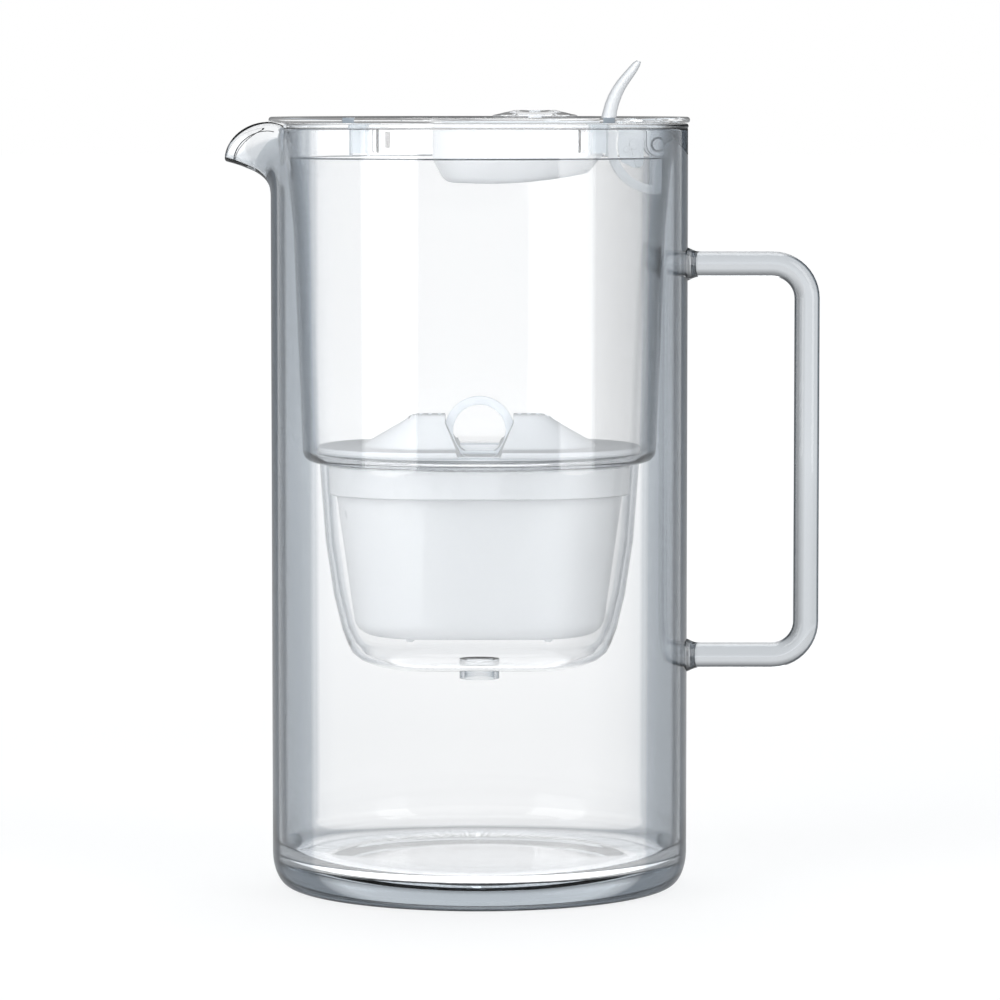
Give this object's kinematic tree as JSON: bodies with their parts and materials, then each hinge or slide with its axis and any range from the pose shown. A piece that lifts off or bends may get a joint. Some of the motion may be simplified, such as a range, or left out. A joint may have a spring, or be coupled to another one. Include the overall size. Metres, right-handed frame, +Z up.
{
  "type": "water filter pitcher",
  "caption": "Glass water filter pitcher: drawn spout, fused rod handle, clear funnel tank, lift-out oval cartridge and a lid with a thumb-lever filling hatch on gooseneck arms.",
  "frame": {"origin": "centre of the jug's flat underside, on the plane it stands on", "axes": "+Z up along the jug's axis, +X towards the handle, -X towards the spout"},
  "size_m": [0.192, 0.1362, 0.2677],
  "materials": {
    "jug_glass": "clear polished borosilicate glass",
    "clear_plastic": "clear moulded plastic, glossy",
    "milky_plastic": "milky translucent plastic",
    "white_plastic": "white moulded plastic, satin",
    "seal_rubber": "soft translucent silicone",
    "felt": "white filter felt",
    "carbon": "granular carbon and resin bed",
    "screen_mesh": "fine woven mesh"
  },
  "bodies": {
    "jug": {"glass_jug": "jug_glass", "glass_base": "jug_glass", "glass_handle": "jug_glass"},
    "tank": {"funnel_tank": "clear_plastic"},
    "cartridge": {"cartridge_case": "white_plastic", "cartridge_collar": "white_plastic", "cartridge_seal": "seal_rubber", "cartridge_cap": "white_plastic", "pull_ring": "milky_plastic", "felt_pad": "felt", "filter_media": "carbon", "lower_screen": "screen_mesh", "upper_screen": "screen_mesh"},
    "lid": {"lid_cover": "clear_plastic", "snap_tongues": "clear_plastic", "hinge_lugs": "clear_plastic", "hinge_pin": "milky_plastic", "lever_stop": "clear_plastic"},
    "hatch": {"hatch_plate": "clear_plastic", "hatch_gasket": "seal_rubber", "splash_bowl": "white_plastic", "gooseneck_arms": "white_plastic", "thumb_lever": "white_plastic", "dial_post": "milky_plastic"},
    "dial": {"reminder_dial": "clear_plastic"}
  },
  "joints": [
    {"name": "tank_lift", "type": "slide", "parent": "jug", "child": "tank", "axis": [0, 0, 1], "range_m": [0, 0.185]},
    {"name": "cartridge_lift", "type": "slide", "parent": "tank", "child": "cartridge", "axis": [0, 0, 1], "range_m": [0, 0.06]},
    {"name": "lid_lift", "type": "slide", "parent": "tank", "child": "lid", "axis": [0, 0, 1], "range_m": [0, 0.045]},
    {"name": "hatch_hinge", "type": "hinge", "parent": "lid", "child": "hatch", "pos_m": [0.0573, 0, 0.2406], "axis": [0, 1, 0], "range_deg": [0, 80]},
    {"name": "dial_turn", "type": "hinge", "parent": "hatch", "child": "dial", "pos_m": [0.018, 0, 0.2505], "axis": [0, 0, 1], "continuous": true}
  ]
}
